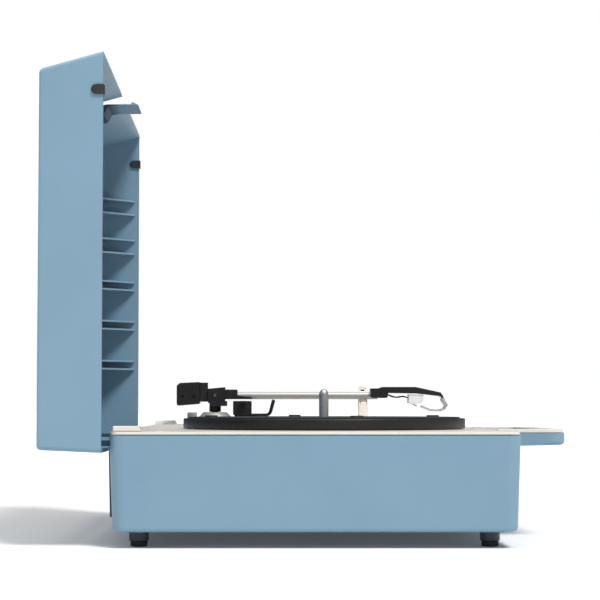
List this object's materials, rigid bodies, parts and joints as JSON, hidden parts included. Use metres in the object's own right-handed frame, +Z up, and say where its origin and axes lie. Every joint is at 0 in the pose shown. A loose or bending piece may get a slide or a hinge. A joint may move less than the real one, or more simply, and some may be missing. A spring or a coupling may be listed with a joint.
{
  "type": "suitcase record player",
  "caption": "Portable suitcase record player with carry handle, hinged lid standing open, belt-driven platter, tonearm with cue lift, and front speaker slots.",
  "frame": {"origin": "on the supporting surface, under the middle of the outline with the lid open", "axes": "+Z up, -Y towards the handle at the front, +X to the player's right"},
  "size_m": [0.3576, 0.3665, 0.3293],
  "materials": {
    "case_plastic": "light blue moulded plastic, fine satin texture",
    "cream_plastic": "cream moulded plastic, slightly glossy",
    "black_plastic": "black moulded plastic, satin",
    "black_rubber": "black rubber, matte",
    "foot_plastic": "dark blue-grey plastic",
    "grey_plastic": "grey plastic",
    "silver_plastic": "silver painted plastic",
    "chrome": "polished",
    "steel": "plain steel",
    "brass": "turned brass",
    "white_plastic": "white plastic",
    "board": "green circuit board",
    "paper": "black paper cone",
    "wire_black": "black insulation",
    "wire_red": "red insulation",
    "socket_red": "red plastic"
  },
  "bodies": {
    "base": {"base_shell": "case_plastic", "deck_plate": "cream_plastic", "corner_pad": "cream_plastic", "rear_stand_left": "black_rubber", "rear_stand_right": "black_rubber", "speaker_frame_left": "black_plastic", "speaker_frame_right": "black_plastic", "speaker_cone_left": "paper", "speaker_cone_right": "paper", "amplifier_board": "board", "rca_jack_left": "steel", "rca_jack_right": "socket_red", "dc_inlet": "black_plastic", "motor_bracket": "steel", "motor": "steel", "drive_belt": "black_rubber", "spindle_bush": "brass", "tonearm_base": "silver_plastic", "arm_rest": "cream_plastic", "cue_housing": "black_plastic", "latch_catch": "steel", "hinge_pin_left": "steel", "hinge_pin_right": "steel", "foot_collar_front_left": "foot_plastic", "foot_pad_front_left": "black_rubber", "foot_collar_front_right": "foot_plastic", "foot_pad_front_right": "black_rubber", "foot_collar_rear_left": "foot_plastic", "foot_pad_rear_left": "black_rubber", "foot_collar_rear_right": "foot_plastic", "foot_pad_rear_right": "black_rubber"},
    "lid": {"lid_shell": "case_plastic", "hinge_arm_left": "case_plastic", "hinge_arm_right": "case_plastic", "lid_bumper_left": "black_rubber", "lid_bumper_right": "black_rubber", "latch_pin": "steel"},
    "latch": {"lid_latch": "case_plastic"},
    "turntable": {"platter": "black_plastic", "platter_mat": "black_rubber", "spindle": "steel"},
    "pulley": {"motor_pulley": "brass"},
    "arm_yoke": {"tonearm_yoke": "black_plastic", "pivot_screw_left": "steel", "pivot_screw_right": "steel"},
    "arm": {"bearing_block": "black_plastic", "counterweight": "black_plastic", "arm_tube": "chrome", "headshell": "black_plastic", "cartridge": "white_plastic", "stylus": "steel", "head_wire_black": "wire_black", "head_wire_red": "wire_red"},
    "guard": {"stylus_guard": "white_plastic"},
    "rest_clip": {"arm_rest_clip": "cream_plastic"},
    "cue_arm": {"cue_lever": "black_plastic"},
    "cue_lift": {"cue_platform": "black_plastic"},
    "selector": {"speed_selector": "cream_plastic"},
    "knob": {"volume_knob": "grey_plastic"}
  },
  "joints": [
    {"name": "lid_hinge", "type": "hinge", "parent": "base", "child": "lid", "pos_m": [0, 0.1311, 0.0679], "axis": [-1, 0, 0], "range_deg": [-90, 0]},
    {"name": "latch_hinge", "type": "hinge", "parent": "lid", "child": "latch", "pos_m": [0, 0.157, 0.3166], "axis": [1, 0, 0], "range_deg": [0, 4], "stiffness_Nm_per_rad": 0.4, "springref_deg": -2.86},
    {"name": "platter_spin", "type": "hinge", "parent": "base", "child": "turntable", "pos_m": [-0.0125, -0.012, 0.08], "axis": [0, 0, 1], "continuous": true},
    {"name": "pulley_spin", "type": "hinge", "parent": "base", "child": "pulley", "pos_m": [-0.07119, 0.04669, 0.08], "axis": [0, 0, 1], "continuous": true},
    {"name": "tonearm_turn", "type": "hinge", "parent": "base", "child": "arm_yoke", "pos_m": [0.1225, 0.073, 0.09], "axis": [0, 0, 1], "range_deg": [-38, 0]},
    {"name": "tonearm_lift", "type": "hinge", "parent": "arm_yoke", "child": "arm", "pos_m": [0.1225, 0.073, 0.1023], "axis": [-1, 0, 0], "range_deg": [-2.3, 10]},
    {"name": "stylus_guard_flip", "type": "hinge", "parent": "arm", "child": "guard", "pos_m": [0.1225, -0.116, 0.099], "axis": [1, 0, 0], "range_deg": [-150, 0]},
    {"name": "rest_clip_hinge", "type": "hinge", "parent": "base", "child": "rest_clip", "pos_m": [0.1285, -0.05, 0.104], "axis": [0, 1, 0], "range_deg": [-85, 0]},
    {"name": "cue_lever_turn", "type": "hinge", "parent": "base", "child": "cue_arm", "pos_m": [0.1335, 0.042, 0.0862], "axis": [0, -1, 0], "range_deg": [-80, 0]},
    {"name": "cue_lift_slide", "type": "slide", "parent": "base", "child": "cue_lift", "axis": [0, 0, 1], "range_m": [-0.0039, 0]},
    {"name": "speed_slide", "type": "slide", "parent": "base", "child": "selector", "axis": [0, 1, 0], "range_m": [-0.007, 0]},
    {"name": "volume_turn", "type": "hinge", "parent": "base", "child": "knob", "pos_m": [0.15, 0.093, 0.08], "axis": [0, 0, 1], "range_deg": [0, 270]}
  ],
  "couplings": [
    {"joint": "pulley_spin", "follows": "platter_spin", "ratio": 12.6},
    {"joint": "cue_lever_turn", "follows": "cue_lift_slide", "rad_per_m": 358}
  ]
}
